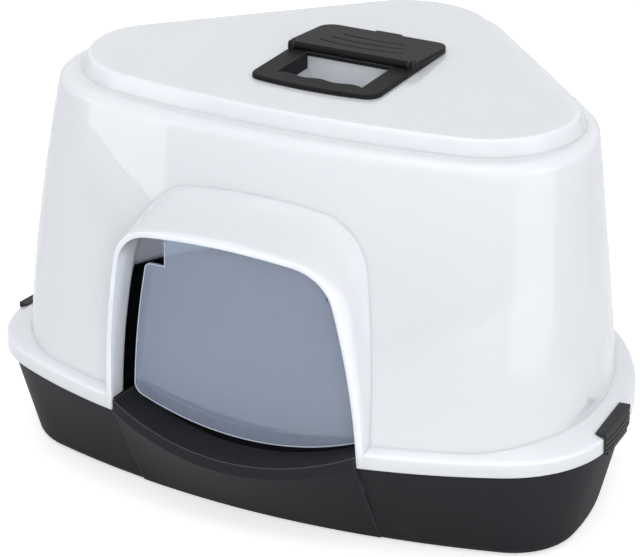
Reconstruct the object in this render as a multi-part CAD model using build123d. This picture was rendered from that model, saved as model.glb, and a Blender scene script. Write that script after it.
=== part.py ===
from build123d import *
import os
from dataclasses import dataclass, replace
from math import asin, atan2, cos, degrees, pi, radians, sin, sqrt, tan

# Corner litter box: a tray, a hood with a swinging door flap, a handle frame with a hinged filter
# lid over its pad, and two clips that hold the hood down. Millimetres, +Z up, the door faces -Y.

# Outline of the hood's flange, the widest part. The rear sides run at 45 degrees into a wall corner.
FLANGE_HALF_WIDTH = 299.0
FLANGE_FRONT_RADIUS = 555.0
FLANGE_CORNER = 102.0
FLANGE_SIDE_RADIUS = 307.0
FLANGE_REAR_RADIUS = 116.5

# Where the other outlines lie inside the flange's: at the sides and at the front
WALL_FOOT_INSET = (23.0, 9.5)
WALL_MID_INSET = (31.0, 37.5)
WALL_HEAD_INSET = (43.0, 75.0)
PLATE_INSET = (63.0, 101.5)
TRAY_FOOT_INSET = (29.0, 57.5)

# Their radii: bowed front, front corners, swelling sides, rear corner
WALL_FOOT_RADII = (545.0, 115.0, 310.0, 144.0)
WALL_MID_RADII = (690.0, 104.0, 225.0, 116.0)
WALL_HEAD_RADII = (900.0, 92.0, 120.0, 84.5)
PLATE_RADII = (980.0, 82.0, 62.0, 79.5)
TRAY_FOOT_RADII = (850.0, 58.0, 300.0, 143.0)

# Levels
PLATE_TOP = 372.0
PLATE_STEP = 14.0
PLATE_STEP_OUT = 8.0
SKIRT_BOTTOM = 94.6
SKIRT_HEIGHT = 13.4
FLANGE_SLOPE = 22.0
FLANGE_RUN = 40.0

# Sheet thicknesses and rounded edges of the mouldings
HOOD_WALL = 3.0
TRAY_WALL = 3.0
TRAY_FLOOR = 3.0
SHOULDER_ROUND = 11.0
PLATE_ROUND = 3.5
SKIRT_ROUND = 2.5
TRAY_FOOT_ROUND = 14.0

# The tray's rim stands free inside the hood's skirt
RIM_GAP = 1.2
RIM_SEAT_GAP = 0.4

# Door opening, its sloping surround and the return behind its edge
DOOR_HALF_WIDTH = 123.0
DOOR_WIDEST_DROP = 14.6
DOOR_SIDE_RADIUS = 800.0
DOOR_BELOW_PLATE = 87.0
DOOR_TOP_RADIUS = 420.0
DOOR_CORNER = 42.0
SURROUND_RIM = 2.0
SURROUND_LEAN = 3.5
SURROUND_DEPTH = 70.0
SURROUND_FLARE = 10.0
SURROUND_RISE = 27.0
SURROUND_CORNER = 60.0
RETURN_DEPTH = 34.0
RETURN_WALL = 3.0

# Scooped entry sill of the tray
SILL_DIP = 27.0
SILL_BAND = 11.0
SILL_LEDGE = 37.0
SILL_LEDGE_FALL = 0.5
SILL_END_GAP = 1.6
SILL_WALL = 3.0
SILL_STATIONS = 9

# Door flap and its hinge
FLAP_THICK = 2.5
FLAP_SIDE_GAP = 9.0
FLAP_SILL_GAP = 5.0
FLAP_SHOULDER_STEP = 19.06185
FLAP_SHOULDER_DROP = 41.0
FLAP_SHOULDER_ROUND = 6.0
FLAP_BEHIND_RETURN = 6.0
FLAP_AXIS_BELOW_TOP = 11.0
FLAP_STRIP = 12.0
FLAP_STRIP_THICK = 4.0
FLAP_AXLE_RADIUS = 2.5
FLAP_AXLE_LENGTH = 8.0
LUG_WALL = 3.0
LUG_GAP = 0.6

# Handle frame on the top plate, with its finger opening over a pocket
HANDLE_SETBACK = 60.0
HANDLE_HALF_WIDTH = 63.5
HANDLE_BOW = 6.0
HANDLE_THICK = 4.0
HANDLE_CORNER = 14.0
GRIP_LENGTH = 74.0
GRIP_BAR = 14.0
GRIP_HALF_WIDTH = 43.0
GRIP_WAVES = 3
GRIP_WAVE_HEIGHT = 3.0
GRIP_CHEEK = 3.0
GRIP_CHEEK_DROP = 12.0
POCKET_DEPTH = 32.0
POCKET_MARGIN = 4.0
POCKET_CORNER = 8.0

# Filter basket and pad
SEAM_BAR = 10.0
BASKET_HALF_WIDTH = 46.0
BASKET_REAR_BAR = 12.0
BASKET_DEPTH = 13.0
BASKET_WALL = 2.0
BASKET_SLOTS = 6
BASKET_SLOT = 7.0
BASKET_HOLE_GAP = 0.6
PAD_THICK = 8.0
PAD_GAP = 0.5

# Filter lid and its hinge
LID_LENGTH = 76.0
LID_GAP = 0.4
LID_FRONT_THICK = 6.4
LID_REAR_THICK = 3.2
LID_FALL = 3.0
LID_WALL = 2.0
LID_PIN_RADIUS = 1.6
LID_PIN_LENGTH = 2.9
LID_PIN_END_GAP = 0.8
LID_EAR = 5.0
LID_EAR_GAP = 0.4
LID_TAB_HALF = 13.0
LID_TAB_REACH = 3.0
LOUVRES = 3
LOUVRE_START = 17.0
LOUVRE_PITCH = 15.0
LOUVRE_WIDTH = 3.2
LOUVRE_HALF_LENGTH = 42.0
LOUVRE_SHORTER = 5.0
LOUVRE_RADIUS = 150.0

# Side clips, hinged on ears of the tray
CLIP_SETBACK = 27.0
CLIP_LENGTH = 66.0
CLIP_RISE = 4.5
CLIP_HOOK_REACH = 10.0
CLIP_WALL = 3.0
CLIP_TOOTH = 2.5
CLIP_PROUD = 2.2
CLIP_BOW_RADIUS = 250.0
CLIP_NOTCH_GAP = 0.6
CLIP_AXIS_IN = 2.0
CLIP_AXIS_DROP = 4.1
CLIP_BARREL_RADIUS = 2.6
CLIP_BARREL_HALF = 19.7
CLIP_PIN_RADIUS = 1.4
CLIP_PIN_LENGTH = 4.0
CLIP_EAR = 4.6
CLIP_GROOVES = 3
CLIP_GROOVE_PITCH = 5.0
CLIP_GROOVE_WIDTH = 1.8
CLIP_GROOVE_DEPTH = 1.2
CLIP_GROOVE_TOP = 5.0
NOTCH_LINER = 2.6

# Running clearance of every hinge pin, on the radius
PIN_CLEARANCE = 0.06

# Half-height of the band in which edges at one level are picked
PICK = 0.01


@dataclass
class Plan:
    """Outline seen from above: bowed front, round corners, swelling sides, square rear corner."""
    half_width: float
    front: float
    front_radius: float
    corner_radius: float
    side_radius: float
    rear_radius: float

    def grown(self, by):
        return Plan(
            self.half_width + by,
            self.front - by,
            self.front_radius + by,
            self.corner_radius + by,
            self.side_radius + by,
            self.rear_radius + by,
        )

    def corner_centre(self):
        x = self.half_width - self.corner_radius
        front_centre = self.front + self.front_radius
        return x, front_centre - sqrt((self.front_radius - self.corner_radius) ** 2 - x * x)

    def front_at(self, x):
        return self.front + self.front_radius - sqrt(self.front_radius ** 2 - x * x)

    def side_at(self, y):
        """The side arc's place and its lean at a distance along the box."""
        centre_y = self.corner_centre()[1]
        lean = asin((y - centre_y) / self.side_radius)
        return self.half_width - self.side_radius * (1 - cos(lean)), degrees(lean)

    def side_point(self, angle):
        x = self.half_width - self.side_radius * (1 - cos(angle))
        return x, self.corner_centre()[1] + self.side_radius * sin(angle)

    def back(self):
        """How far back the rounded rear corner reaches."""
        return sum(self.side_point(pi / 4)) - self.rear_radius * (sqrt(2) - 1)

    def wire(self, z):
        front_centre = self.front + self.front_radius
        cx, cy = self.corner_centre()
        turn = atan2(cy - front_centre, cx)
        start = (self.front_radius * cos(turn), front_centre + self.front_radius * sin(turn))
        middle = (cx + self.corner_radius * cos(turn / 2), cy + self.corner_radius * sin(turn / 2))
        widest = self.side_point(0)
        swell = self.side_point(pi / 8)
        side_end = self.side_point(pi / 4)
        rear_centre = self.back() - self.rear_radius
        rear_start = (self.rear_radius * cos(pi / 4), rear_centre + self.rear_radius * sin(pi / 4))

        def left(point):
            return (-point[0], point[1])

        edges = [
            ThreePointArc(left(start), (0, self.front), start),
            ThreePointArc(start, middle, widest),
            ThreePointArc(widest, swell, side_end),
            Line(side_end, rear_start),
            ThreePointArc(rear_start, (0, self.back()), left(rear_start)),
            Line(left(rear_start), left(side_end)),
            ThreePointArc(left(side_end), left(swell), left(widest)),
            ThreePointArc(left(widest), left(middle), left(start)),
        ]
        return Pos(0, 0, z) * Wire(edges)


@dataclass
class Arch:
    """Door outline: sides that curve inwards from their feet, round upper corners, low arched top."""
    half_width: float
    top: float
    side_radius: float
    top_radius: float
    corner: float

    def grown(self, by):
        return Arch(
            self.half_width + by,
            self.top + by,
            self.side_radius + by,
            self.top_radius + by,
            self.corner + by,
        )

    def side_centre(self):
        return Vector(self.half_width - self.side_radius, SKIRT_BOTTOM - DOOR_WIDEST_DROP, 0)

    def corner_points(self):
        """Start, middle and end of the corner arc, which touches the side arc and the top arc."""
        side_centre = self.side_centre()
        top_centre = Vector(0, self.top - self.top_radius, 0)
        side_reach = self.side_radius - self.corner
        top_reach = self.top_radius - self.corner
        across = top_centre - side_centre
        along = across.normalized()
        up = Vector(-along.Y, along.X, 0)
        slide = (across.length ** 2 + side_reach ** 2 - top_reach ** 2) / (2 * across.length)
        centre = side_centre + along * slide + up * sqrt(side_reach ** 2 - slide ** 2)
        outwards = (centre - side_centre).normalized()
        upwards = (centre - top_centre).normalized()
        middle = (outwards + upwards).normalized()
        return [centre + direction * self.corner for direction in (outwards, middle, upwards)]

    def half_width_at(self, z):
        centre = self.side_centre()
        return centre.X + sqrt(self.side_radius ** 2 - (z - centre.Y) ** 2)

    def wire(self, y, drop=0):
        """The outline standing across the box at a place along it, its feet drawn down by a drop."""
        side, middle, upper = self.corner_points()
        belly_level = (SKIRT_BOTTOM + side.Y) / 2
        belly = Vector(self.half_width_at(belly_level), belly_level, 0)
        foot = Vector(self.half_width_at(SKIRT_BOTTOM), SKIRT_BOTTOM, 0)
        sole = foot - Vector(0, drop, 0)

        def place(point, mirror=1):
            return (mirror * point.X, y, point.Y)

        edges = [
            ThreePointArc(place(foot), place(belly), place(side)),
            ThreePointArc(place(side), place(middle), place(upper)),
            ThreePointArc(place(upper), (0, y, self.top), place(upper, -1)),
            ThreePointArc(place(upper, -1), place(middle, -1), place(side, -1)),
            ThreePointArc(place(side, -1), place(belly, -1), place(foot, -1)),
            Line(place(sole, -1), place(sole)),
        ]
        if drop:
            edges += [Line(place(foot, -1), place(sole, -1)), Line(place(sole), place(foot))]
        return Wire(edges)


def inside_flange(inset, radii):
    """Outline that lies inside the flange's at the sides and at the front."""
    sides, front = inset
    return Plan(FLANGE.half_width - sides, FLANGE.front + front, *radii)


# Door top, and the surround's brow above it, which leans out furthest to the front
DOOR_TOP = PLATE_TOP - DOOR_BELOW_PLATE
SURROUND_SLOPE = tan(radians(SURROUND_LEAN))
SURROUND_OUT = (PLATE_TOP - SKIRT_BOTTOM) * SURROUND_SLOPE
BROW_RATE = (SURROUND_RISE - SURROUND_RIM) / (SURROUND_OUT + SURROUND_DEPTH)
BROW_BASE = DOOR_TOP + SURROUND_RIM + BROW_RATE * (SURROUND_OUT + SKIRT_BOTTOM * SURROUND_SLOPE)
BROW = BROW_BASE / (1 + BROW_RATE * SURROUND_SLOPE)
BROW_OUT = (BROW - SKIRT_BOTTOM) * SURROUND_SLOPE

# The box is centred between that brow and its rear corner
FLANGE = Plan(
    FLANGE_HALF_WIDTH,
    0.0,
    FLANGE_FRONT_RADIUS,
    FLANGE_CORNER,
    FLANGE_SIDE_RADIUS,
    FLANGE_REAR_RADIUS,
)
DEPTH = BROW_OUT + FLANGE.back()
FLANGE = replace(FLANGE, front=BROW_OUT - DEPTH / 2)
WALL_FOOT = inside_flange(WALL_FOOT_INSET, WALL_FOOT_RADII)
WALL_MID = inside_flange(WALL_MID_INSET, WALL_MID_RADII)
WALL_HEAD = inside_flange(WALL_HEAD_INSET, WALL_HEAD_RADII)
PLATE = inside_flange(PLATE_INSET, PLATE_RADII)
TRAY_FOOT = inside_flange(TRAY_FOOT_INSET, TRAY_FOOT_RADII)
RIM = FLANGE.grown(-HOOD_WALL - RIM_GAP)

SKIRT_TOP = SKIRT_BOTTOM + SKIRT_HEIGHT
SHOULDER = PLATE_TOP - PLATE_STEP
WALL_MID_LEVEL = (SKIRT_TOP + SHOULDER) / 2
RIM_TOP = SKIRT_TOP - HOOD_WALL - RIM_SEAT_GAP
SKIRT_SEAT = SKIRT_TOP - HOOD_WALL

DOOR = Arch(DOOR_HALF_WIDTH, DOOR_TOP, DOOR_SIDE_RADIUS, DOOR_TOP_RADIUS, DOOR_CORNER)
SURROUND_FRONT = DOOR.grown(SURROUND_RIM)
SURROUND_BACK = Arch(
    DOOR_HALF_WIDTH + SURROUND_RIM + SURROUND_FLARE,
    DOOR_TOP + SURROUND_RISE,
    DOOR_SIDE_RADIUS,
    DOOR_TOP_RADIUS + SURROUND_RISE,
    SURROUND_CORNER,
)
SURROUND_NOSE = FLANGE.front - SURROUND_OUT
RETURN_BACK = FLANGE.front + RETURN_DEPTH
FLAP_Y = RETURN_BACK + FLAP_BEHIND_RETURN
FLAP_AXIS_Z = DOOR_TOP - FLAP_AXIS_BELOW_TOP
FLAP_EDGE = DOOR.grown(-FLAP_SIDE_GAP)
FLAP_SHOULDER = FLAP_AXIS_Z - FLAP_SHOULDER_DROP
FLAP_TAB_HALF = FLAP_EDGE.half_width_at(FLAP_SHOULDER) - FLAP_SHOULDER_STEP
SILL_HALF_LENGTH = DOOR.half_width_at(RIM_TOP) - SILL_END_GAP
SILL_RADIUS = (SILL_HALF_LENGTH ** 2 + SILL_DIP ** 2) / (2 * SILL_DIP)

HANDLE_TOP = PLATE_TOP + HANDLE_THICK
HANDLE_FRONT = PLATE.front + HANDLE_SETBACK
GRIP_FRONT = HANDLE_FRONT + GRIP_BAR
SEAM = HANDLE_FRONT + GRIP_LENGTH
HANDLE_BACK = SEAM + LID_LENGTH
BASKET_FRONT = SEAM + SEAM_BAR
BASKET_BACK = HANDLE_BACK - BASKET_REAR_BAR
BASKET_FLOOR = HANDLE_TOP - BASKET_DEPTH
LID_LOW = HANDLE_TOP + LID_GAP
LID_REAR_LOW = LID_LOW - LID_FALL
LID_NOSE = LID_FRONT_THICK / 2
LID_AXIS_Y = SEAM + LID_NOSE
LID_AXIS_Z = LID_LOW + LID_NOSE

CLIP_ALONG = FLANGE.corner_centre()[1] + CLIP_SETBACK
CLIP_X, CLIP_LEAN = FLANGE.side_at(CLIP_ALONG)
CLIP_TOP = SKIRT_TOP + CLIP_RISE
CLIP_AXIS_LEVEL = SKIRT_BOTTOM - CLIP_AXIS_DROP


def prism(plan, low, high):
    return extrude(Face(plan.wire(low)), high - low, dir=(0, 0, 1))


def loft_up(*levels, straight=True):
    """Loft through outlines given with their heights."""
    return Solid.make_loft([plan.wire(z) for plan, z in levels], straight)


def top_edges(solid):
    return solid.edges().group_by(Axis.Z)[-1]


def block(x0, x1, y0, y1, z0, z1):
    return Pos((x0 + x1) / 2, (y0 + y1) / 2, (z0 + z1) / 2) * Box(abs(x1 - x0), abs(y1 - y0), z1 - z0)


def rod(start, end, radius):
    """Round bar between two points."""
    axis = Vector(*end) - Vector(*start)
    return extrude(Plane(origin=start, z_dir=axis) * Circle(radius), axis.length)


def both_sides(shape):
    return [shape, mirror(shape, Plane.YZ)]


def door_surround(inset):
    """Wedge that carries the door forward to the flange's edge and leans out a little above it."""
    front = SURROUND_FRONT.grown(-inset)
    back = SURROUND_BACK.grown(-inset)
    sleeve = Solid.make_loft([front.wire(SURROUND_NOSE), back.wire(FLANGE.front + SURROUND_DEPTH)], True)
    edge = FLANGE.grown(-inset)
    leaning = replace(edge, front=edge.front - SURROUND_OUT)
    return sleeve & loft_up((edge, SKIRT_BOTTOM), (leaning, PLATE_TOP))


def hood_form(inset):
    """Solid form of the hood, drawn in by a sheet thickness for its inside."""
    edge = FLANGE.grown(-inset)
    crest = SKIRT_TOP - inset
    rise = FLANGE_RUN * tan(radians(FLANGE_SLOPE))
    flange = prism(edge, SKIRT_BOTTOM, crest)
    flange += loft_up((edge, crest), (edge.grown(-FLANGE_RUN), crest + rise))
    crest_edges = flange.edges().filter_by_position(Axis.Z, crest - PICK, crest + PICK)
    flange = fillet(crest_edges, SKIRT_ROUND)
    head = SHOULDER - inset
    wall = loft_up(
        (WALL_FOOT.grown(-inset), crest),
        (WALL_MID.grown(-inset), WALL_MID_LEVEL),
        (WALL_HEAD.grown(-inset), head),
        straight=False,
    )
    wall = fillet(top_edges(wall), SHOULDER_ROUND)
    plate = loft_up(
        (PLATE.grown(PLATE_STEP_OUT - inset), head - HOOD_WALL),
        (PLATE.grown(-inset), PLATE_TOP - inset),
    )
    plate = fillet(top_edges(plate), PLATE_ROUND)
    return flange + wall + plate + door_surround(inset)


def at_clip(shape):
    """Move a shape from the right clip's own frame (outward, along, up) to its place on the box."""
    return Pos(CLIP_X, CLIP_ALONG, 0) * Rot(0, 0, CLIP_LEAN) * shape


def notch_liner():
    """Walls and floor of the recess in the flange that the clip's hook drops into."""
    half = CLIP_LENGTH / 2 + CLIP_NOTCH_GAP + NOTCH_LINER
    inner = -CLIP_HOOK_REACH - CLIP_NOTCH_GAP - NOTCH_LINER
    return block(inner, 0, -half, half, SKIRT_SEAT, CLIP_TOP + NOTCH_LINER)


def notch_cut():
    half = CLIP_LENGTH / 2 + CLIP_NOTCH_GAP
    inner = -CLIP_HOOK_REACH - CLIP_NOTCH_GAP
    floor = SKIRT_SEAT + NOTCH_LINER
    upper = block(inner, FLANGE_RUN, -half, half, floor, CLIP_TOP + FLANGE_RUN)
    lower = block(-HOOD_WALL - CLIP_NOTCH_GAP, FLANGE_RUN, -half, half, 0, floor)
    return upper + lower


def flap_lug():
    """Ear behind the door's return that holds one end of the flap's axle."""
    inner = FLAP_TAB_HALF + LUG_GAP
    outer = inner + FLAP_AXLE_LENGTH
    reach = FLAP_AXLE_RADIUS + LUG_WALL
    low = FLAP_AXIS_Z - reach
    high = FLAP_AXIS_Z + reach
    ear = block(inner, outer, RETURN_BACK - LUG_WALL, FLAP_Y + reach, low, high)
    ear = fillet(ear.edges().filter_by(Axis.X).group_by(Axis.Y)[-1], LUG_WALL)
    bore_end = outer + LUG_GAP
    bore = rod((0, FLAP_Y, FLAP_AXIS_Z), (bore_end, FLAP_Y, FLAP_AXIS_Z), FLAP_AXLE_RADIUS + PIN_CLEARANCE)
    return ear - bore


def finger_pocket(margin):
    """Hollow under the handle's finger opening, or that hollow with a sheet thickness round it."""
    half = GRIP_HALF_WIDTH + GRIP_CHEEK + POCKET_MARGIN + margin
    front = GRIP_FRONT - POCKET_MARGIN - margin
    rear = SEAM + GRIP_CHEEK + margin
    pocket = block(-half, half, front, rear, PLATE_TOP - POCKET_DEPTH - margin, PLATE_TOP - margin)
    return fillet(pocket.edges().filter_by(Axis.Z), POCKET_CORNER + margin)


def make_hood():
    # Recesses for the clips are cut into the form before it is hollowed, and lined afterwards
    outside = hood_form(0)
    for notch in both_sides(at_clip(notch_cut())):
        outside -= notch
    hood = outside - hood_form(HOOD_WALL)
    hood += [liner & outside for liner in both_sides(at_clip(notch_liner()))]

    # Return behind the edge of the door, clear of the tray's rim, with the ears for the flap's axle
    return_length = Vector(0, RETURN_BACK - SURROUND_NOSE, 0)
    door_return = Solid.extrude(Face(DOOR.grown(RETURN_WALL).wire(SURROUND_NOSE)), return_length)
    door_return -= prism(RIM.grown(RIM_GAP / 2), 0, SKIRT_SEAT)
    hood += door_return & outside
    hood += both_sides(flap_lug())
    hood -= Solid.extrude(Face(DOOR.wire(SURROUND_NOSE, SKIRT_BOTTOM)), return_length)

    # Finger pocket under the handle, and the hole for the filter basket
    hole_half = BASKET_HALF_WIDTH + BASKET_WALL + BASKET_HOLE_GAP
    hole_front = BASKET_FRONT - BASKET_WALL - BASKET_HOLE_GAP
    hole_back = BASKET_BACK + BASKET_WALL + BASKET_HOLE_GAP
    hole = block(-hole_half, hole_half, hole_front, hole_back, BASKET_FLOOR - BASKET_WALL, PLATE_TOP)
    return hood + finger_pocket(HOOD_WALL) - finger_pocket(0) - hole


def sill_level(x):
    """Height of the sill's lip across the door."""
    return RIM_TOP - SILL_DIP + SILL_RADIUS - sqrt(SILL_RADIUS ** 2 - x * x)


def sill_section(x):
    """Cross-section of the entry sill: raked front wall, upright band, ledge falling inwards."""
    front = FLANGE.front_at(x)
    lip = sill_level(x)
    foot = TRAY_FOOT.front_at(x)
    crease = lip - SILL_BAND
    low = TRAY_FLOOR
    rake = (foot - front) * low / crease
    lean = SILL_WALL * sqrt(1 + ((foot - front) / crease) ** 2)
    ledge = front + SILL_LEDGE
    points = [
        (foot - rake, low),
        (front, crease),
        (front, lip),
        (ledge, lip - SILL_LEDGE_FALL),
        (ledge, lip - SILL_LEDGE_FALL - SILL_WALL),
        (front + lean, lip - SILL_WALL),
        (front + lean, crease),
        (foot - rake + lean, low),
    ]
    return Wire.make_polygon([(x, y, z) for y, z in points], close=True)


def clip_ears():
    """Pair of ears on the tray that hold a clip's hinge pins."""
    inward = -RIM_GAP - HOOD_WALL - 2 * CLIP_BARREL_RADIUS
    low = CLIP_AXIS_LEVEL - CLIP_BARREL_RADIUS
    high = CLIP_AXIS_LEVEL + CLIP_BARREL_RADIUS
    near = CLIP_BARREL_HALF + CLIP_NOTCH_GAP
    far = near + CLIP_EAR
    ears = []
    for end in (1, -1):
        ear = block(inward, -CLIP_AXIS_IN, end * near, end * far, low, high)
        ear += clip_axle(end * near, end * far, CLIP_BARREL_RADIUS)
        ears.append(ear - clip_axle(0, end * (far + CLIP_NOTCH_GAP), CLIP_PIN_RADIUS + PIN_CLEARANCE))
    return ears


def clip_axle(start, end, radius):
    """Round bar on the clip's hinge axis, in the clip's own frame."""
    return rod((-CLIP_AXIS_IN, start, CLIP_AXIS_LEVEL), (-CLIP_AXIS_IN, end, CLIP_AXIS_LEVEL), radius)


def make_tray():
    outside = loft_up((TRAY_FOOT, 0), (RIM, SKIRT_BOTTOM), (RIM, RIM_TOP))
    outside = fillet(outside.edges().group_by(Axis.Z)[0], TRAY_FOOT_ROUND)
    inner_foot = TRAY_FOOT.grown(-TRAY_WALL)
    inner_rim = RIM.grown(-TRAY_WALL)
    inside = loft_up((inner_foot, TRAY_FLOOR), (inner_rim, SKIRT_BOTTOM), (inner_rim, RIM_TOP))
    inside = fillet(inside.edges().group_by(Axis.Z)[0], TRAY_FOOT_ROUND - TRAY_WALL)
    tray = outside - inside

    # The wall is cut down in an arc across the door and the sill takes its place
    arc_centre = RIM_TOP - SILL_DIP + SILL_RADIUS
    tray -= rod((0, 0, arc_centre), (0, -DEPTH, arc_centre), SILL_RADIUS + SILL_WALL / 2)
    spacing = 2 * SILL_HALF_LENGTH / (SILL_STATIONS - 1)
    sections = [sill_section(spacing * i - SILL_HALF_LENGTH) for i in range(SILL_STATIONS)]
    tray += Solid.make_loft(sections, False)

    for ear in clip_ears():
        tray += [placed - inside for placed in both_sides(at_clip(ear))]
    return tray


def make_flap():
    """Swinging door: broad leaf, narrower hinge tab, thick lower edge and two stub axles."""
    top = FLAP_AXIS_Z + FLAP_AXLE_RADIUS
    tab = FLAP_TAB_HALF

    def leaf(rise, thick):
        """The flap's sheet above a lower edge that is raised by a height."""
        low = sill_level(FLAP_EDGE.half_width_at(RIM_TOP)) + FLAP_SILL_GAP + rise
        centre = sill_level(0) + FLAP_SILL_GAP + rise
        foot, waist, head = [
            (FLAP_EDGE.half_width_at(z), 0, z) for z in (low, (low + FLAP_SHOULDER) / 2, FLAP_SHOULDER)
        ]

        def left(point):
            return (-point[0], 0, point[2])

        outline = Wire([
            ThreePointArc(left(foot), (0, 0, centre), foot),
            ThreePointArc(foot, waist, head),
            Line(head, (tab, 0, FLAP_SHOULDER)),
            Line((tab, 0, FLAP_SHOULDER), (tab, 0, top)),
            Line((tab, 0, top), (-tab, 0, top)),
            Line((-tab, 0, top), (-tab, 0, FLAP_SHOULDER)),
            Line((-tab, 0, FLAP_SHOULDER), left(head)),
            ThreePointArc(left(head), left(waist), left(foot)),
        ])
        return Solid.extrude(Face(outline), Vector(0, thick, 0))

    strip = leaf(0, FLAP_STRIP_THICK) - leaf(FLAP_STRIP, FLAP_STRIP_THICK)
    flap = leaf(0, FLAP_THICK) + strip
    corners = flap.edges().filter_by(Axis.Y).group_by(Axis.Z)[0]
    flap = fillet(corners, FLAP_STRIP)
    level = (FLAP_SHOULDER - PICK, FLAP_SHOULDER + PICK)
    shoulders = flap.edges().filter_by(Axis.Y).filter_by_position(Axis.Z, *level)
    outer = shoulders.filter_by(lambda corner: abs(corner.center().X) > tab + PICK)
    flap = fillet(outer, FLAP_SHOULDER_ROUND)
    flap = Pos(0, FLAP_Y - FLAP_THICK / 2, 0) * flap
    reach = FLAP_TAB_HALF + LUG_GAP + FLAP_AXLE_LENGTH
    return flap + rod((-reach, FLAP_Y, FLAP_AXIS_Z), (reach, FLAP_Y, FLAP_AXIS_Z), FLAP_AXLE_RADIUS)


def handle_outline():
    """Rounded plate with a bowed front edge."""
    half = HANDLE_HALF_WIDTH
    outline = Wire([
        ThreePointArc((-half, HANDLE_FRONT), (0, HANDLE_FRONT - HANDLE_BOW), (half, HANDLE_FRONT)),
        Line((half, HANDLE_FRONT), (half, HANDLE_BACK)),
        Line((half, HANDLE_BACK), (-half, HANDLE_BACK)),
        Line((-half, HANDLE_BACK), (-half, HANDLE_FRONT)),
    ])
    return Face(outline).fillet_2d(HANDLE_CORNER, outline.vertices())


def grip_opening():
    """Finger opening with a wavy front edge."""
    half = GRIP_HALF_WIDTH
    places = 2 * GRIP_WAVES
    wave = []
    for i in range(places + 1):
        rise = GRIP_WAVE_HEIGHT if i % 2 else 0
        wave.append((-half + 2 * half * i / places, GRIP_FRONT + rise))
    outline = Wire([
        Spline(wave),
        Line(wave[-1], (half, SEAM)),
        Line((half, SEAM), (-half, SEAM)),
        Line((-half, SEAM), wave[0]),
    ])
    return Face(outline)


def lid_ear():
    """Ear at one end of the seam that holds the lid's pin."""
    outer = HANDLE_HALF_WIDTH - LID_EAR_GAP
    inner = outer - LID_EAR
    foot = HANDLE_TOP - HANDLE_THICK / 2
    ear = lid_axle(inner, outer, LID_NOSE)
    ear += block(inner, outer, LID_AXIS_Y - LID_NOSE, LID_AXIS_Y + LID_NOSE, foot, LID_AXIS_Z)
    bore_end = inner - LID_EAR_GAP + LID_PIN_LENGTH + LID_PIN_END_GAP
    return ear - lid_axle(0, bore_end, LID_PIN_RADIUS + PIN_CLEARANCE)


def lid_axle(start, end, radius):
    """Round bar on the lid's hinge axis."""
    return rod((start, LID_AXIS_Y, LID_AXIS_Z), (end, LID_AXIS_Y, LID_AXIS_Z), radius)


def lid_slab(corners, half):
    """Slab across the handle from the corners of its side view."""
    outline = Wire.make_polygon([(-half, y, z) for y, z in corners], close=True)
    return Solid.extrude(Face(outline), Vector(2 * half, 0, 0))


def make_handle_frame():
    plate = extrude(Pos(0, 0, PLATE_TOP) * handle_outline(), HANDLE_THICK, dir=(0, 0, 1))
    plate = fillet(top_edges(plate), HANDLE_THICK / 2)

    # Cheeks at the ends of the finger opening
    cheek_outer = GRIP_HALF_WIDTH + GRIP_CHEEK
    cheek = block(GRIP_HALF_WIDTH, cheek_outer, GRIP_FRONT, SEAM, PLATE_TOP - GRIP_CHEEK_DROP, PLATE_TOP)
    plate += both_sides(cheek)

    # Basket for the filter pad, open above and slotted below
    half = BASKET_HALF_WIDTH
    wall = BASKET_WALL
    under = BASKET_FLOOR - wall
    plate += block(-half - wall, half + wall, BASKET_FRONT - wall, BASKET_BACK + wall, under, PLATE_TOP)
    plate -= block(-half, half, BASKET_FRONT, BASKET_BACK, BASKET_FLOOR, HANDLE_TOP)
    pitch = 2 * half / BASKET_SLOTS
    for i in range(BASKET_SLOTS):
        left = -half + pitch * i + (pitch - BASKET_SLOT) / 2
        plate -= block(left, left + BASKET_SLOT, BASKET_FRONT + BASKET_SLOT, BASKET_BACK - BASKET_SLOT,
                       under, BASKET_FLOOR)

    plate -= extrude(Pos(0, 0, PLATE_TOP) * grip_opening(), HANDLE_THICK, dir=(0, 0, 1))

    # The seat under the lid falls towards the back
    seat = lid_slab([
        (LID_AXIS_Y, LID_LOW - LID_GAP),
        (HANDLE_BACK, LID_REAR_LOW - LID_GAP),
        (HANDLE_BACK, LID_LOW),
        (LID_AXIS_Y, LID_LOW),
    ], HANDLE_HALF_WIDTH)
    return plate - seat + both_sides(lid_ear())


def louvre(y, half):
    """One curved slot right through the lid."""
    sag = LOUVRE_RADIUS - sqrt(LOUVRE_RADIUS ** 2 - half ** 2)
    front = y - LOUVRE_WIDTH / 2
    back = y + LOUVRE_WIDTH / 2
    outline = Wire([
        ThreePointArc((-half, front + sag), (0, front), (half, front + sag)),
        Line((half, front + sag), (half, back + sag)),
        ThreePointArc((half, back + sag), (0, back), (-half, back + sag)),
        Line((-half, back + sag), (-half, front + sag)),
    ])
    return extrude(Pos(0, 0, PLATE_TOP) * Face(outline), 2 * LID_FRONT_THICK, dir=(0, 0, 1))


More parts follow.
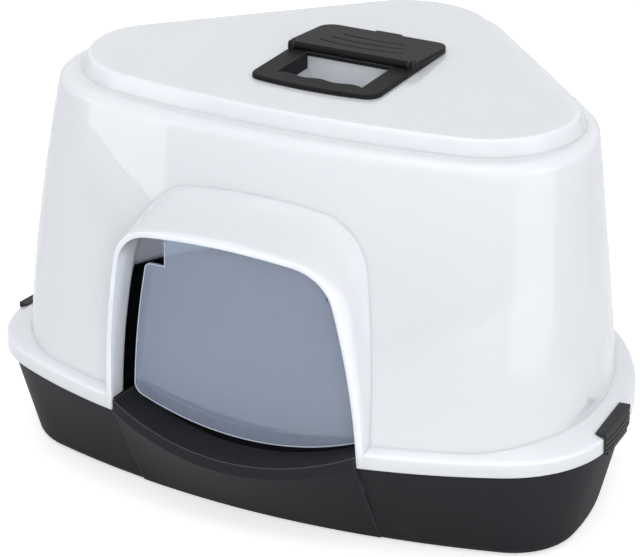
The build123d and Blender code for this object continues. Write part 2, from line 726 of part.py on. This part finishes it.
def make_filter_lid():
    """Hinged cover: thick rounded nose at the seam, thinner at the back, curved louvres."""
    nose_top = LID_LOW + LID_FRONT_THICK
    rear_top = LID_REAR_LOW + LID_REAR_THICK
    profile = Wire([
        Line((0, LID_AXIS_Y, LID_LOW), (0, HANDLE_BACK, LID_REAR_LOW)),
        Line((0, HANDLE_BACK, LID_REAR_LOW), (0, HANDLE_BACK, rear_top)),
        Line((0, HANDLE_BACK, rear_top), (0, LID_AXIS_Y, nose_top)),
        ThreePointArc((0, LID_AXIS_Y, nose_top), (0, SEAM, LID_AXIS_Z), (0, LID_AXIS_Y, LID_LOW)),
    ])
    half = HANDLE_HALF_WIDTH
    lid = Pos(-half, 0, 0) * Solid.extrude(Face(profile), Vector(2 * half, 0, 0))
    corners = lid.edges().filter_by(Axis.Z).group_by(Axis.Y)[-1]
    lid = fillet(corners, HANDLE_CORNER)

    # Room for the ears, and the hollow underside
    nose_half = half - 2 * LID_EAR_GAP - LID_EAR
    ear_back = LID_AXIS_Y + LID_NOSE + 2 * LID_EAR_GAP
    lid -= both_sides(block(nose_half, 2 * half, SEAM - LID_NOSE, ear_back, HANDLE_TOP, nose_top + LID_NOSE))
    lid -= lid_slab([
        (LID_AXIS_Y + 2 * LID_NOSE, LID_REAR_LOW),
        (HANDLE_BACK - 2 * LID_WALL, LID_REAR_LOW),
        (HANDLE_BACK - 2 * LID_WALL, rear_top - LID_WALL),
        (LID_AXIS_Y + 2 * LID_NOSE, nose_top - 2 * LID_WALL),
    ], nose_half - LID_WALL)

    # Finger tab at the back, louvres and hinge pins
    tab_back = HANDLE_BACK + LID_TAB_REACH
    lid += block(-LID_TAB_HALF, LID_TAB_HALF, HANDLE_BACK - LID_WALL, tab_back, LID_REAR_LOW, rear_top)
    for i in range(LOUVRES):
        lid -= louvre(SEAM + LOUVRE_START + LOUVRE_PITCH * i, LOUVRE_HALF_LENGTH - LOUVRE_SHORTER * i)
    reach = nose_half + LID_PIN_LENGTH
    return lid + lid_axle(-reach, reach, LID_PIN_RADIUS)


def make_filter_pad():
    half = BASKET_HALF_WIDTH - PAD_GAP
    top = BASKET_FLOOR + PAD_THICK
    return block(-half, half, BASKET_FRONT + PAD_GAP, BASKET_BACK - PAD_GAP, BASKET_FLOOR, top)


def make_clip():
    """Right clip: bowed and grooved outer plate, hook over the flange and a hinge barrel at its foot."""
    half = CLIP_LENGTH / 2
    inner = -CLIP_WALL + CLIP_NOTCH_GAP
    foot = CLIP_AXIS_LEVEL
    foot_outer = CLIP_BARREL_RADIUS - CLIP_AXIS_IN
    belly = (foot + CLIP_TOP) / 2
    shelf = CLIP_TOP - CLIP_WALL
    tooth_low = SKIRT_SEAT + NOTCH_LINER + CLIP_NOTCH_GAP
    tooth_inner = -CLIP_HOOK_REACH
    tooth_outer = tooth_inner + CLIP_TOOTH
    outline = Wire([
        ThreePointArc((foot_outer, 0, foot), (CLIP_PROUD, 0, belly), (0, 0, CLIP_TOP)),
        Line((0, 0, CLIP_TOP), (tooth_inner, 0, CLIP_TOP)),
        Line((tooth_inner, 0, CLIP_TOP), (tooth_inner, 0, tooth_low)),
        Line((tooth_inner, 0, tooth_low), (tooth_outer, 0, tooth_low)),
        Line((tooth_outer, 0, tooth_low), (tooth_outer, 0, shelf)),
        Line((tooth_outer, 0, shelf), (inner, 0, shelf)),
        Line((inner, 0, shelf), (inner, 0, foot)),
        Line((inner, 0, foot), (foot_outer, 0, foot)),
    ])
    clip = Pos(0, -half, 0) * Solid.extrude(Face(outline), Vector(0, CLIP_LENGTH, 0))

    def bow(low, high, depth):
        """Upright drum whose side is the clip's bowed face, or lies a depth behind it."""
        centre = CLIP_PROUD - CLIP_BOW_RADIUS
        return rod((centre, 0, low), (centre, 0, high), CLIP_BOW_RADIUS - depth)

    clip &= bow(0, CLIP_TOP, 0)
    for i in range(CLIP_GROOVES):
        high = CLIP_TOP - CLIP_GROOVE_TOP - CLIP_GROOVE_PITCH * i
        low = high - CLIP_GROOVE_WIDTH
        clip -= bow(low, high, -CLIP_GROOVE_DEPTH) - bow(low, high, CLIP_GROOVE_DEPTH)

    # The lower corners make room for the tray's ears
    ear_top = CLIP_AXIS_LEVEL + CLIP_BARREL_RADIUS + 2 * CLIP_NOTCH_GAP
    for end in (1, -1):
        clip -= block(tooth_inner, CLIP_LENGTH, end * CLIP_BARREL_HALF, end * CLIP_LENGTH, 0, ear_top)
    pin = CLIP_BARREL_HALF + CLIP_PIN_LENGTH
    clip += clip_axle(-CLIP_BARREL_HALF, CLIP_BARREL_HALF, CLIP_BARREL_RADIUS)
    return at_clip(clip + clip_axle(-pin, pin, CLIP_PIN_RADIUS))


def main():
    os.makedirs("parts", exist_ok=True)
    clip_right, clip_left = both_sides(make_clip())
    parts = {
        "base_tray": make_tray(),
        "hood": make_hood(),
        "door_flap": make_flap(),
        "handle_frame": make_handle_frame(),
        "filter_lid": make_filter_lid(),
        "filter_pad": make_filter_pad(),
        "clip_right": clip_right,
        "clip_left": clip_left,
    }
    for name, shape in parts.items():
        export_step(shape, f"parts/{name}.step")


if __name__ == "__main__":
    main()
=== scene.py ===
# %% [markdown]
# # Dressing a hooded corner litter box
# The box is a real product made of a few injection mouldings: a dark tray, a white hood, a tinted
# door flap, a dark handle with a filter lid, and two clips. Their shapes come ready made from the
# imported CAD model, which is the fixed frame here. This lesson gives each moulding a finish that
# behaves like the real plastic, adds the soft filter pad, and sets up a plain studio.

# %% Load the frame
import math

import bmesh
import bpy
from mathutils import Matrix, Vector


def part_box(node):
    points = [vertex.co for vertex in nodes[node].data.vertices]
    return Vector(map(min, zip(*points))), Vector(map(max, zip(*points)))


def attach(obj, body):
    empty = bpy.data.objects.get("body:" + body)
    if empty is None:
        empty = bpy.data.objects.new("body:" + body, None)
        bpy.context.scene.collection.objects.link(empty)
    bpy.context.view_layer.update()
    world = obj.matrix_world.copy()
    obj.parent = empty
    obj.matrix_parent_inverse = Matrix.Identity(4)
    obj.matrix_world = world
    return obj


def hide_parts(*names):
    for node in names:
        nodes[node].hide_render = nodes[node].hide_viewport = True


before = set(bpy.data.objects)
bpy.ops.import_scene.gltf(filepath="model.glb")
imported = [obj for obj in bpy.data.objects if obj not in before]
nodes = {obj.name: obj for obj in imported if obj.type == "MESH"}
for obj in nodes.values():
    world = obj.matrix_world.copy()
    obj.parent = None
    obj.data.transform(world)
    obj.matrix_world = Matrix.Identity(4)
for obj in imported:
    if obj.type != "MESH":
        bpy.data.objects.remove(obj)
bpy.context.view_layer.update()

# %% [markdown]
# ## The camera
# A product shot like this is taken with a long lens from some metres away, so that upright edges
# stay nearly parallel. The angles below were found by laying the model's own edges (flange, top
# plate, foot, door corners) over the picture until most fell within a few pixels. Blender's camera
# looks along its own -Z, so a tracking quaternion turns it towards the point it aims at.

# %% Camera
AZIMUTH, ELEVATION = math.radians(27.983), math.radians(23.651)
AIM = Vector((-0.007115, -0.064663, 0.177138))
DISTANCE = 3.058643
LENS_MM = 189.256
SENSOR_MM = 36.0
FAR_CLIP = 50.0


def into_scene(name, data):
    """An object at the origin that holds a mesh, a lamp or a camera."""
    holder = bpy.data.objects.new(name, data)
    bpy.context.scene.collection.objects.link(holder)
    return holder


def look_along(holder, direction):
    holder.rotation_euler = direction.to_track_quat("-Z", "Y").to_euler()


camera_data = bpy.data.cameras.new("studio_camera")
camera_data.sensor_fit = "HORIZONTAL"
camera_data.sensor_width = SENSOR_MM
camera_data.lens = LENS_MM
camera_data.clip_end = FAR_CLIP
camera = into_scene("studio_camera", camera_data)
sight = Vector((
    math.sin(AZIMUTH) * math.cos(ELEVATION),
    -math.cos(AZIMUTH) * math.cos(ELEVATION),
    math.sin(ELEVATION),
))
camera.location = AIM + DISTANCE * sight
look_along(camera, -sight)
bpy.context.scene.camera = camera
print("camera at", [round(v, 3) for v in camera.location], "lens", camera_data.lens)

# %% [markdown]
# ## Shared finish: moulded skin
# Every injection moulding carries the skin of its steel mould: a fine grain, slow waves where the
# plastic shrank, and cloudy patches where the gloss differs a little. These effects are wanted in
# several materials at different strengths, so they are built once as a node group. Its outputs are
# values that change over the surface: a height for a Bump node, and a cloud mask for colour and gloss.

# %% Node helpers
def link(tree, source, target):
    tree.links.new(source, target)


def feed(tree, socket, value):
    """Give a socket another socket's output, or a plain number or colour."""
    if isinstance(value, bpy.types.NodeSocket):
        link(tree, value, socket)
    else:
        socket.default_value = value


def math_node(tree, operation, *values, clamp=False):
    """A Math node whose inputs are sockets or plain numbers."""
    node = tree.nodes.new("ShaderNodeMath")
    node.operation = operation
    node.use_clamp = clamp
    for socket, value in zip(node.inputs, values):
        feed(tree, socket, value)
    return node.outputs[0]


def noise(tree, coordinates, scale, detail, roughness=0.5):
    node = tree.nodes.new("ShaderNodeTexNoise")
    link(tree, coordinates, node.inputs["Vector"])
    feed(tree, node.inputs["Scale"], scale)
    node.inputs["Detail"].default_value = detail
    node.inputs["Roughness"].default_value = roughness
    return node.outputs["Fac"]


def span(tree, value, low, high, out_low=0.0, out_high=1.0):
    """Map Range: a value from low to high becomes out_low to out_high, with soft ends."""
    node = tree.nodes.new("ShaderNodeMapRange")
    node.interpolation_type = "SMOOTHSTEP"
    link(tree, value, node.inputs["Value"])
    node.inputs["From Min"].default_value = low
    node.inputs["From Max"].default_value = high
    node.inputs["To Min"].default_value = out_low
    node.inputs["To Max"].default_value = out_high
    return node.outputs["Result"]


print("node helpers ready")

# %% Moulded skin group
NUMBER, VECTOR = "NodeSocketFloat", "NodeSocketVector"
CLOUD_SCALE = 4.0


def start_group(name, inputs, outputs):
    """A shader node group with named sockets: the group, what it is given and what it puts out."""
    group = bpy.data.node_groups.new(name, "ShaderNodeTree")
    for label, kind in inputs:
        group.interface.new_socket(label, in_out="INPUT", socket_type=kind)
    for label, kind in outputs:
        group.interface.new_socket(label, in_out="OUTPUT", socket_type=kind)
    given = group.nodes.new("NodeGroupInput").outputs
    result = group.nodes.new("NodeGroupOutput").inputs
    return group, given, result


def build_moulded_skin():
    strengths = ("Grain Scale", "Grain", "Wave Scale", "Waves")
    inputs = [("Coordinates", VECTOR)] + [(label, NUMBER) for label in strengths]
    outputs = [("Height", NUMBER), ("Clouds", NUMBER)]
    group, given, result = start_group("moulded_skin", inputs, outputs)
    grain = noise(group, given["Coordinates"], given["Grain Scale"], detail=2.0)
    waves = noise(group, given["Coordinates"], given["Wave Scale"], detail=1.0)
    clouds = noise(group, given["Coordinates"], CLOUD_SCALE, detail=1.0, roughness=0.4)
    fine = math_node(group, "MULTIPLY", grain, given["Grain"])
    slow = math_node(group, "MULTIPLY", waves, given["Waves"])
    link(group, math_node(group, "ADD", fine, slow), result["Height"])
    link(group, span(group, clouds, 0.25, 0.75), result["Clouds"])
    return group


moulded_skin = build_moulded_skin()
print("node group", moulded_skin.name, [s.name for s in moulded_skin.interface.items_tree])

# %% [markdown]
# ## Shared finish: moulded edges
# No moulding has knife edges: each outer edge is rounded by a millimetre or so, catches the light as a
# thin line and is the first place to be rubbed. A Bevel node turns the normals near an edge as such a
# rounding would, and an Ambient Occlusion node that looks inwards finds the outer edges alone, because
# only there is the other side of the wall close by. The group puts out both, a normal and a mask. The
# materials paint their edges paler with the mask: a painted highlight, and on the dark mouldings rubbing
# too.

# %% Moulded edges group
def build_moulded_edges():
    inputs = [("Radius", NUMBER), ("Reach", NUMBER)]
    outputs = [("Edge", NUMBER), ("Normal", VECTOR)]
    group, given, result = start_group("moulded_edges", inputs, outputs)
    depth = group.nodes.new("ShaderNodeAmbientOcclusion")
    depth.inside = True
    depth.only_local = True
    depth.samples = 8
    link(group, given["Reach"], depth.inputs["Distance"])
    nearness = math_node(group, "SUBTRACT", 1.0, depth.outputs["AO"])
    link(group, span(group, nearness, 0.12, 0.5), result["Edge"])
    rounding = group.nodes.new("ShaderNodeBevel")
    rounding.samples = 6
    link(group, given["Radius"], rounding.inputs["Radius"])
    link(group, rounding.outputs["Normal"], result["Normal"])
    return group


moulded_edges = build_moulded_edges()
print("node group", moulded_edges.name, [s.name for s in moulded_edges.interface.items_tree])

# %% [markdown]
# ## Starting a plastic
# Every finish below starts alike: a material with a Principled shader, Object coordinates so that the
# patterns stay put on the piece, and the shared groups with values of its own. Colours are written as
# they show on a screen and turned into the linear values that the shader works with.

# %% Start of a plastic material
def plastic(name):
    """A new material with its Principled shader and Object coordinates."""
    material = bpy.data.materials.new(name)
    material.use_nodes = True
    tree = material.node_tree
    coordinates = tree.nodes.new("ShaderNodeTexCoord").outputs["Object"]
    return material, tree, tree.nodes["Principled BSDF"], coordinates


def place_group(tree, group, **values):
    """A node group in a material, with its own values."""
    node = tree.nodes.new("ShaderNodeGroup")
    node.node_tree = group
    for name, value in values.items():
        node.inputs[name.replace("_", " ").title()].default_value = value
    return node


def place_skin(tree, coordinates, **values):
    node = place_group(tree, moulded_skin, **values)
    link(tree, coordinates, node.inputs["Coordinates"])
    return node.outputs


def dress(node_name, material):
    """Give a CAD node its finish."""
    slots = nodes[node_name].data.materials
    slots.clear()
    slots.append(material)


print("plastics can be started")

# %% Colour and relief
def srgb(red, green, blue):
    """Colour written as it shows on a screen (0 to 255), turned into the linear values of the shader."""
    def linear(value):
        value /= 255.0
        return value / 12.92 if value <= 0.04045 else ((value + 0.055) / 1.055) ** 2.4
    return linear(red), linear(green), linear(blue), 1.0


def ramp(tree, value, low_colour, high_colour, low=0.0, high=1.0):
    """A colour that runs from one to another while the value goes from low to high."""
    node = tree.nodes.new("ShaderNodeValToRGB")
    stops = ((low, low_colour), (high, high_colour))
    for element, (place, colour) in zip(node.color_ramp.elements, stops):
        element.position = place
        element.color = srgb(*colour)
    link(tree, value, node.inputs["Fac"])
    return node.outputs["Color"]


def rub_and_highlight_edges(tree, mask, body, rubbed_highlight):
    """The body's colour, and another one where the edge mask is 1: a painted highlight along the edges,
    which on the dark mouldings stands for rubbing as well.
    """
    node = tree.nodes.new("ShaderNodeMix")
    node.data_type = "RGBA"
    link(tree, mask, node.inputs["Factor"])
    link(tree, body, node.inputs["A"])
    node.inputs["B"].default_value = srgb(*rubbed_highlight)
    return node.outputs["Result"]


def bump(tree, shader, height, strength, distance, normal=None):
    """Small relief on the shader, on top of another normal where one is given."""
    node = tree.nodes.new("ShaderNodeBump")
    node.inputs["Strength"].default_value = strength
    node.inputs["Distance"].default_value = distance
    link(tree, height, node.inputs["Height"])
    if normal is not None:
        link(tree, normal, node.inputs["Normal"])
    link(tree, node.outputs["Normal"], shader.inputs["Normal"])


print("grey of 128 is", round(srgb(128, 128, 128)[0], 4), "in linear light")

# %% [markdown]
# ## White hood
# The hood is a cool white polypropylene with a hard gloss. A pure white would clip, and a single
# colour would look like paper, so the colour drifts a little between two near whites, and long shallow
# waves in the bump bend the reflections of the lamps the way a big thin moulding does. A thin clear
# coat gives the sharp reflections over a duller body. The wall is only a few millimetres thick and
# lets light through, which subsurface scattering gives: the inside of the hood isn't black.

# %% Hood plastic
# A near white painted along the outer edges of the hood and the flap: a painted highlight, not a colour of
# the plastic.
EDGE_HIGHLIGHT_WHITE = (244, 246, 250)


def build_hood_plastic():
    material, tree, shader, coordinates = plastic("hood_white_plastic")
    skin = place_skin(tree, coordinates, grain_scale=1400.0, grain=0.06, wave_scale=4.0, waves=1.0)
    edges = place_group(tree, moulded_edges, radius=0.0024, reach=0.0013).outputs
    body = ramp(tree, skin["Clouds"], (228, 232, 241), (231, 235, 244))
    # The outer edges are painted in the near white: a painted highlight along each edge.
    link(tree, rub_and_highlight_edges(tree, edges["Edge"], body, EDGE_HIGHLIGHT_WHITE), shader.inputs["Base Color"])
    link(tree, span(tree, skin["Clouds"], 0.0, 1.0, 0.3, 0.36), shader.inputs["Roughness"])
    link(tree, span(tree, skin["Clouds"], 0.0, 1.0, 0.92, 1.0), shader.inputs["Coat Weight"])
    shader.inputs["Coat Roughness"].default_value = 0.02
    shader.inputs["Specular IOR Level"].default_value = 0.06
    shader.inputs["Subsurface Weight"].default_value = 0.85
    shader.inputs["Subsurface Radius"].default_value = (1.0, 1.0, 1.1)
    shader.inputs["Subsurface Scale"].default_value = 0.012
    bump(tree, shader, skin["Height"], 0.08, 0.002, edges["Normal"])
    return material


dress("hood", build_hood_plastic())
print("hood dressed")

# %% [markdown]
# ## Dark satin mouldings
# Tray, handle, lid and clips are the same kind of charcoal plastic with a satin spark-eroded skin.
# One function makes them all, with a colour and a grain of its own for each. Their edges are painted a
# little paler, partly as rubbing and partly as a painted highlight, which draws the lip of the sill and
# the rim of the handle as thin grey lines.

# %% Charcoal plastic
def build_charcoal(name, dark, light, rubbed_highlight, grain_scale, rough, gloss):
    material, tree, shader, coordinates = plastic(name)
    skin = place_skin(tree, coordinates, grain_scale=grain_scale, grain=0.5, wave_scale=7.0, waves=1.0)
    edges = place_group(tree, moulded_edges, radius=0.0014, reach=0.0014).outputs
    body = ramp(tree, skin["Clouds"], dark, light)
    # Edges painted paler: partly rubbing, partly a painted highlight along each edge.
    link(tree, rub_and_highlight_edges(tree, edges["Edge"], body, rubbed_highlight), shader.inputs["Base Color"])
    link(tree, span(tree, skin["Clouds"], 0.0, 1.0, *rough), shader.inputs["Roughness"])
    shader.inputs["Specular IOR Level"].default_value = gloss
    bump(tree, shader, skin["Height"], 0.15, 0.002, edges["Normal"])
    return material


# %% Tray, handle, lid and clips
tray_plastic = build_charcoal(
    "tray_charcoal", dark=(32, 32, 35), light=(35, 35, 38), rubbed_highlight=(86, 86, 90),
    grain_scale=900.0, rough=(0.5, 0.58), gloss=0.13)
handle_plastic = build_charcoal(
    "handle_charcoal", dark=(30, 30, 31), light=(34, 34, 35), rubbed_highlight=(72, 72, 74),
    grain_scale=1500.0, rough=(0.46, 0.54), gloss=0.06)
clip_plastic = build_charcoal(
    "clip_charcoal", dark=(36, 36, 37), light=(40, 40, 41), rubbed_highlight=(66, 66, 68),
    grain_scale=1300.0, rough=(0.44, 0.52), gloss=0.18)
dark_mouldings = {
    "base_tray": tray_plastic,
    "handle_frame": handle_plastic,
    "filter_lid": handle_plastic,
    "clip_right": clip_plastic,
    "clip_left": clip_plastic,
}
for node_name, material in dark_mouldings.items():
    dress(node_name, material)
print("dark mouldings dressed:", ", ".join(dark_mouldings))

# %% [markdown]
# ## Tinted flap
# The flap is a see-through sheet of smoky blue plastic with a milky veil. Its smooth face mirrors the
# dark sill along the lower edge, and in the upper corner the white wall behind shows through. Part of
# the shader is therefore clear transmission, and the rest scatters as a pale blue. The edge of a clear
# sheet lights up; the edge mask paints a pale highlight there, and the rim in the next step adds a painted
# highlight line.

# %% Tinted flap plastic
def build_tinted_sheet():
    material, tree, shader, coordinates = plastic("flap_tinted_plastic")
    skin = place_skin(tree, coordinates, grain_scale=2200.0, grain=0.01, wave_scale=9.0, waves=0.5)
    edges = place_group(tree, moulded_edges, reach=0.0012).outputs
    body = ramp(tree, skin["Clouds"], (216, 228, 249), (219, 231, 251))
    # The flap's outer edges are painted in the near white: a painted highlight along the sheet's edge.
    link(tree, rub_and_highlight_edges(tree, edges["Edge"], body, EDGE_HIGHLIGHT_WHITE), shader.inputs["Base Color"])
    link(tree, span(tree, skin["Clouds"], 0.0, 1.0, 0.05, 0.09), shader.inputs["Roughness"])
    shader.inputs["Transmission Weight"].default_value = 0.755
    shader.inputs["IOR"].default_value = 1.5
    bump(tree, shader, skin["Height"], 0.04, 0.001)
    return material


dress("door_flap", build_tinted_sheet())
print("flap dressed")

# %% [markdown]
# ## Rim of the flap
# All round its outline the sheet carries a narrow pale rim, a painted highlight for the light that the
# sheet's edge gathers, which shows as a fine pale line. It has to follow the outline exactly, so it is
# made from the flap's
# own front face: a copy is merged, its flat front becomes one face again with dissolve_limit, and an
# inset leaves the ring that the rim needs. The ring gets a little thickness and stands barely proud.
# It is left open in the right hinge notch, which lies behind the shoulder of the surround.

# %% Flap rim
RIM_WIDTH = 0.0008
RIM_THICK = 0.0003
RIM_PROUD = 0.0002
NOTCH_SIDE, NOTCH_FOOT = 0.0785, 0.2315
MERGE_DISTANCE = 1e-5
FLAT_ANGLE = math.radians(0.5)


def mesh_object(name, shape):
    """A bmesh turned into an object that sits at the origin."""
    mesh = bpy.data.meshes.new(name)
    shape.to_mesh(mesh)
    shape.free()
    return into_scene(name, mesh)


def build_flap_highlight_rim():
    shape = bmesh.new()
    shape.from_mesh(nodes["door_flap"].data)
    bmesh.ops.remove_doubles(shape, verts=shape.verts, dist=MERGE_DISTANCE)
    bmesh.ops.dissolve_limit(shape, angle_limit=FLAT_ANGLE, verts=shape.verts, edges=shape.edges)
    front = max((f for f in shape.faces if f.normal.y < -0.99), key=lambda f: f.calc_area())
    ring = bmesh.ops.inset_region(shape, faces=[front], thickness=RIM_WIDTH, use_even_offset=True)["faces"]
    middles = {face: face.calc_center_median() for face in ring}
    kept = {face for face, at in middles.items() if at.x < NOTCH_SIDE or at.z < NOTCH_FOOT}
    rest = [face for face in shape.faces if face not in kept]
    bmesh.ops.delete(shape, geom=rest, context="FACES")
    bmesh.ops.solidify(shape, geom=shape.faces[:], thickness=RIM_THICK)
    bmesh.ops.recalc_face_normals(shape, faces=shape.faces)
    bmesh.ops.translate(shape, vec=(0.0, -RIM_PROUD, 0.0), verts=shape.verts)
    print("flap rim", len(shape.faces), "faces")
    return mesh_object("flap_highlight_rim", shape)


# %% Rim colour: painted highlight
def build_rim_highlight_paint():
    material, tree, shader, coordinates = plastic("flap_edge_painted_highlight")
    skin = place_skin(tree, coordinates, grain_scale=2200.0, grain=0.3, wave_scale=30.0, waves=0.5)
    # A pale grey-blue on an opaque ring: a painted highlight for the lit edge of the sheet.
    tint = ramp(tree, skin["Clouds"], (196, 203, 214), (206, 212, 222))
    link(tree, tint, shader.inputs["Base Color"])
    link(tree, span(tree, skin["Clouds"], 0.0, 1.0, 0.22, 0.3), shader.inputs["Roughness"])
    bump(tree, shader, skin["Height"], 0.05, 0.0005)
    return material


flap_highlight_rim = build_flap_highlight_rim()
flap_highlight_rim.data.materials.append(build_rim_highlight_paint())
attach(flap_highlight_rim, "flap")

# %% [markdown]
# ## Filter pad
# Under the lid lies a soft pad of open carbon foam. The CAD model holds it as a plain block. Here a
# subdivided block is drawn in a little at its edges and given a crown, so that it looks like cut foam.

# %% Filter pad
PAD_CUTS = 9
PAD_EDGE_SINK = 0.0016
PAD_DRAW_IN = 0.0009


def build_filter_pad():
    low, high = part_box("filter_pad")
    middle, size = (low + high) / 2, high - low
    shape = bmesh.new()
    bmesh.ops.create_cube(shape, size=1.0)
    bmesh.ops.scale(shape, vec=size, verts=shape.verts)
    bmesh.ops.translate(shape, vec=middle, verts=shape.verts)
    bmesh.ops.subdivide_edges(shape, edges=shape.edges[:], cuts=PAD_CUTS, use_grid_fill=True)
    for vertex in shape.verts:
        across = abs(vertex.co.x - middle.x) / (size.x / 2)
        along = abs(vertex.co.y - middle.y) / (size.y / 2)
        height = (vertex.co.z - low.z) / size.z
        vertex.co.z -= PAD_EDGE_SINK * max(across, along) ** 4 * height
        draw_in = PAD_DRAW_IN * math.sin(math.pi * height)
        vertex.co.x -= math.copysign(draw_in, vertex.co.x - middle.x) * across ** 6
        vertex.co.y -= math.copysign(draw_in, vertex.co.y - middle.y) * along ** 6
    pad = mesh_object("filter_foam_pad", shape)
    softness = pad.modifiers.new("soft_edges", "SUBSURF")
    softness.levels = softness.render_levels = 1
    for polygon in pad.data.polygons:
        polygon.use_smooth = True
    return pad


# %% Foam
FOAM_CELL_SCALE = 650.0


def build_foam():
    material, tree, shader, coordinates = plastic("filter_carbon_foam")
    cells = tree.nodes.new("ShaderNodeTexVoronoi")
    link(tree, coordinates, cells.inputs["Vector"])
    cells.inputs["Scale"].default_value = FOAM_CELL_SCALE
    depth = cells.outputs["Distance"]
    # Darker at the middle of each cell, where the bump makes a pit: painted shade in the pores of the
    # foam.
    tint = ramp(tree, depth, (14, 14, 15), (40, 40, 42), low=0.1, high=0.7)
    link(tree, tint, shader.inputs["Base Color"])
    shader.inputs["Roughness"].default_value = 0.95
    bump(tree, shader, depth, 0.8, 0.0015)
    return material


pad = build_filter_pad()
pad.data.materials.append(build_foam())
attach(pad, "box")
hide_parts("filter_pad")
print("filter pad", len(pad.data.polygons), "faces")

# %% [markdown]
# ## Studio
# The picture is a catalogue shot on white: a pale floor that runs out of sight and a bright surround.
# More light on the object would clip its whites, so Light Path tells the rays apart instead. A ray
# from the camera finds plain white, and so does one that a gloss mirrors or the flap lets through,
# while the light that falls on the object comes from a dimmer, slightly blue grey. The floor glows
# only a little, so that it keeps the object's shadow.

# %% Floor
WHITE = (1.0, 1.0, 1.0, 1.0)
FLOOR_HALF = 12.0
FLOOR_GLOW_SEEN, FLOOR_GLOW_MIRRORED = 0.5, 0.12


def sees_white(tree, seen, mirrored):
    """How white a ray finds the studio: seen by the camera, or mirrored in a gloss or through a sheet."""
    path = tree.nodes.new("ShaderNodeLightPath").outputs
    bent = math_node(tree, "ADD", path["Is Glossy Ray"], path["Is Transmission Ray"], clamp=True)
    bent = math_node(tree, "MULTIPLY", bent, mirrored)
    return math_node(tree, "MULTIPLY_ADD", path["Is Camera Ray"], seen, bent)


def build_floor():
    shape = bmesh.new()
    bmesh.ops.create_grid(shape, x_segments=1, y_segments=1, size=FLOOR_HALF)
    floor = mesh_object("studio_floor", shape)
    material = bpy.data.materials.new("studio_floor_white")
    material.use_nodes = True
    tree = material.node_tree
    shader = tree.nodes["Principled BSDF"]
    shader.inputs["Base Color"].default_value = (0.93, 0.93, 0.935, 1.0)
    shader.inputs["Roughness"].default_value = 0.9
    shader.inputs["Specular IOR Level"].default_value = 0.1
    shader.inputs["Emission Color"].default_value = WHITE
    glow = sees_white(tree, FLOOR_GLOW_SEEN, FLOOR_GLOW_MIRRORED)
    link(tree, glow, shader.inputs["Emission Strength"])
    floor.data.materials.append(material)


build_floor()
print("floor laid,", 2 * FLOOR_HALF, "m wide")

# %% World
WORLD_GREY = (0.93, 0.95, 1.0, 1.0)
WORLD_STRENGTH = 0.58


def build_world():
    world = bpy.data.worlds.new("studio_world")
    bpy.context.scene.world = world
    world.use_nodes = True
    tree = world.node_tree
    grey = tree.nodes["Background"]
    grey.inputs["Color"].default_value = WORLD_GREY
    grey.inputs["Strength"].default_value = WORLD_STRENGTH
    white = tree.nodes.new("ShaderNodeBackground")
    white.inputs["Color"].default_value = WHITE
    white.inputs["Strength"].default_value = 1.0
    mix = tree.nodes.new("ShaderNodeMixShader")
    link(tree, sees_white(tree, 1.0, 1.0), mix.inputs["Fac"])
    link(tree, grey.outputs[0], mix.inputs[1])
    link(tree, white.outputs[0], mix.inputs[2])
    link(tree, mix.outputs[0], tree.nodes["World Output"].inputs["Surface"])
    return world


print("world", build_world().name, "strength", WORLD_STRENGTH)

# %% [markdown]
# ## Lamps
# Four large softboxes give the object its light, most of it from the front right and from above. A
# glossy shell also shows the lamps themselves. The big front lamp would lie on the shoulder as a broad
# patch, so it is hidden from mirrored rays and a small strip stands in for its glint. A card beside
# the box draws the tall pale band on the right wall. Card and strip only show in the gloss.

# %% Lamps
CENTRE = (0.0, 0.0, 0.2)
FRONT_RIGHT_PLACE = (1.7, -3.0, 1.5)
CARD_PLACE, CARD_AIM = (1.0, -0.34, 0.3), (0.0, -0.34, 0.3)


def softbox(name, place, aim, width, height, power):
    lamp = bpy.data.lights.new(name, "AREA")
    lamp.shape = "RECTANGLE"
    lamp.size = width
    lamp.size_y = height
    lamp.energy = power
    holder = into_scene(name, lamp)
    holder.location = place
    look_along(holder, Vector(aim) - Vector(place))
    return holder


softbox("overhead", (0.2, -0.5, 3.0), CENTRE, width=2.6, height=2.6, power=27.0)
front_right = softbox("front_right", FRONT_RIGHT_PLACE, CENTRE, width=1.8, height=1.6, power=49.0)
front_right.visible_glossy = False
softbox("front_left", (-2.6, -2.2, 1.2), CENTRE, width=1.2, height=1.6, power=10.5)
softbox("right", (3.0, -0.6, 1.2), CENTRE, width=1.2, height=1.6, power=9.5)
gloss_card = softbox("gloss_card", CARD_PLACE, CARD_AIM, width=0.655, height=0.6, power=1.6)
glint = softbox("glint", FRONT_RIGHT_PLACE, CENTRE, width=0.5, height=0.15, power=2.0)
for card in (gloss_card, glint):
    card.visible_camera = False
    card.visible_diffuse = False
bpy.context.scene.view_settings.view_transform = "Standard"
print("studio ready,", len(bpy.data.lights), "lamps")
